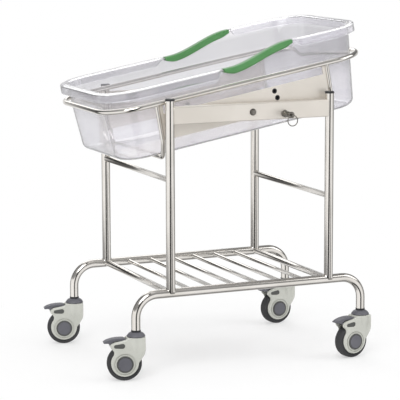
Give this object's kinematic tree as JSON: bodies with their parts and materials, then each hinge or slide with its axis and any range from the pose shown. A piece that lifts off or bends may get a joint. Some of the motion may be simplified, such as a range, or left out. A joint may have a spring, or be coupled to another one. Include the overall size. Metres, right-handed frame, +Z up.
{
  "type": "hospital bassinet",
  "caption": "Hospital bassinet: clear tub with side grips in a tilting cradle on a tubular steel frame with slatted shelf and braked swivel castors.",
  "frame": {"origin": "middle of the footprint of the bounding box, on the floor under the castors", "axes": "+X towards the raised head end, -Y towards the side with the index plunger, +Z up"},
  "size_m": [0.8136, 0.5924, 0.9458],
  "materials": {
    "polished_steel": "polished stainless",
    "satin_steel": "satin stainless",
    "plunger_steel": "dark plated",
    "clear_plastic": "clear, glossy",
    "green_plastic": "satin",
    "pale_plastic": "moulded, satin",
    "grey_plastic": "moulded, satin",
    "black_plastic": "moulded",
    "tyre_rubber": "dull"
  },
  "bodies": {
    "frame": {"castor_front_left_stem": "grey_plastic", "castor_front_right_stem": "grey_plastic", "castor_rear_left_stem": "grey_plastic", "castor_rear_right_stem": "grey_plastic", "cross_bar_left": "polished_steel", "cross_bar_right": "polished_steel", "pivot_bolt_front": "polished_steel", "pivot_bolt_rear": "polished_steel", "pivot_nut_front": "polished_steel", "pivot_nut_rear": "polished_steel", "pivot_spacer_front": "polished_steel", "pivot_spacer_rear": "polished_steel", "plunger_barrel": "plunger_steel", "rail_front": "polished_steel", "rail_rear": "polished_steel", "shelf_bar_1": "polished_steel", "shelf_bar_2": "polished_steel", "shelf_bar_3": "polished_steel", "shelf_bar_4": "polished_steel", "shelf_bar_5": "polished_steel", "shelf_bar_6": "polished_steel", "shelf_end_bar_left": "polished_steel", "shelf_end_bar_right": "polished_steel", "side_bar_front": "satin_steel", "side_bar_rear": "satin_steel", "upright_cap_front_left": "black_plastic", "upright_cap_front_right": "black_plastic", "upright_cap_rear_left": "black_plastic", "upright_cap_rear_right": "black_plastic", "upright_front_left": "polished_steel", "upright_front_right": "polished_steel", "upright_rear_left": "polished_steel", "upright_rear_right": "polished_steel"},
    "cradle": {"cradle_ring": "polished_steel", "cradle_hanger_left": "polished_steel", "cradle_hanger_right": "polished_steel", "cradle_plate_front": "satin_steel", "cradle_plate_rear": "satin_steel"},
    "basin": {"tub": "clear_plastic", "grip_front": "green_plastic", "grip_rear": "green_plastic"},
    "plunger": {"plunger_pin": "plunger_steel"},
    "pull_ring_body": {"pull_ring": "polished_steel"},
    "castor_front_left": {"castor_front_left_housing": "pale_plastic", "castor_front_left_axle": "grey_plastic"},
    "wheel_front_left": {"castor_front_left_wheel": "tyre_rubber"},
    "brake_front_left": {"castor_front_left_pedal": "grey_plastic"},
    "castor_front_right": {"castor_front_right_housing": "pale_plastic", "castor_front_right_axle": "grey_plastic"},
    "wheel_front_right": {"castor_front_right_wheel": "tyre_rubber"},
    "brake_front_right": {"castor_front_right_pedal": "grey_plastic"},
    "castor_rear_left": {"castor_rear_left_housing": "pale_plastic", "castor_rear_left_axle": "grey_plastic"},
    "wheel_rear_left": {"castor_rear_left_wheel": "tyre_rubber"},
    "brake_rear_left": {"castor_rear_left_pedal": "grey_plastic"},
    "castor_rear_right": {"castor_rear_right_housing": "pale_plastic", "castor_rear_right_axle": "grey_plastic"},
    "wheel_rear_right": {"castor_rear_right_wheel": "tyre_rubber"},
    "brake_rear_right": {"castor_rear_right_pedal": "grey_plastic"}
  },
  "joints": [
    {"name": "cradle_tilt", "type": "hinge", "parent": "frame", "child": "cradle", "pos_m": [0.02577, 0.01397, 0.714], "axis": [0, 1, 0], "range_deg": [0, 36.9]},
    {"name": "basin_lift", "type": "slide", "parent": "cradle", "child": "basin", "axis": [-0.1771, 0, 0.9842], "range_m": [0, 0.25]},
    {"name": "plunger_pull", "type": "slide", "parent": "frame", "child": "plunger", "axis": [0, -1, 0], "range_m": [0, 0.01], "stiffness_N_per_m": 800, "springref_m": -0.004},
    {"name": "pull_ring_swing", "type": "hinge", "parent": "plunger", "child": "pull_ring_body", "pos_m": [0.12139, -0.29173, 0.70547], "axis": [1, 0, 0], "range_deg": [-90, 40]},
    {"name": "swivel_front_left", "type": "hinge", "parent": "frame", "child": "castor_front_left", "pos_m": [-0.31693, -0.22903, 0.1193], "axis": [0, 0, 1], "continuous": true},
    {"name": "roll_front_left", "type": "hinge", "parent": "castor_front_left", "child": "wheel_front_left", "pos_m": [-0.34832, -0.22062, 0.0475], "axis": [-0.2588, -0.9659, 0], "continuous": true},
    {"name": "brake_front_left_press", "type": "hinge", "parent": "castor_front_left", "child": "brake_front_left", "pos_m": [-0.34736, -0.22088, 0.1085], "axis": [-0.2588, -0.9659, 0], "range_deg": [0, 10]},
    {"name": "swivel_front_right", "type": "hinge", "parent": "frame", "child": "castor_front_right", "pos_m": [0.36847, -0.22903, 0.1193], "axis": [0, 0, 1], "continuous": true},
    {"name": "roll_front_right", "type": "hinge", "parent": "castor_front_right", "child": "wheel_front_right", "pos_m": [0.33637, -0.23411, 0.0475], "axis": [0.1564, -0.9877, 0], "continuous": true},
    {"name": "brake_front_right_press", "type": "hinge", "parent": "castor_front_right", "child": "brake_front_right", "pos_m": [0.33735, -0.23396, 0.1085], "axis": [0.1564, -0.9877, 0], "range_deg": [0, 10]},
    {"name": "swivel_rear_left", "type": "hinge", "parent": "frame", "child": "castor_rear_left", "pos_m": [-0.31693, 0.25697, 0.1193], "axis": [0, 0, 1], "continuous": true},
    {"name": "roll_rear_left", "type": "hinge", "parent": "castor_rear_left", "child": "wheel_rear_left", "pos_m": [-0.34832, 0.26538, 0.0475], "axis": [-0.2588, -0.9659, 0], "continuous": true},
    {"name": "brake_rear_left_press", "type": "hinge", "parent": "castor_rear_left", "child": "brake_rear_left", "pos_m": [-0.34736, 0.26512, 0.1085], "axis": [-0.2588, -0.9659, 0], "range_deg": [0, 10]},
    {"name": "swivel_rear_right", "type": "hinge", "parent": "frame", "child": "castor_rear_right", "pos_m": [0.36847, 0.25697, 0.1193], "axis": [0, 0, 1], "continuous": true},
    {"name": "roll_rear_right", "type": "hinge", "parent": "castor_rear_right", "child": "wheel_rear_right", "pos_m": [0.33609, 0.25414, 0.0475], "axis": [0.0872, -0.9962, 0], "continuous": true},
    {"name": "brake_rear_right_press", "type": "hinge", "parent": "castor_rear_right", "child": "brake_rear_right", "pos_m": [0.33709, 0.25422, 0.1085], "axis": [0.0872, -0.9962, 0], "range_deg": [0, 10]}
  ]
}
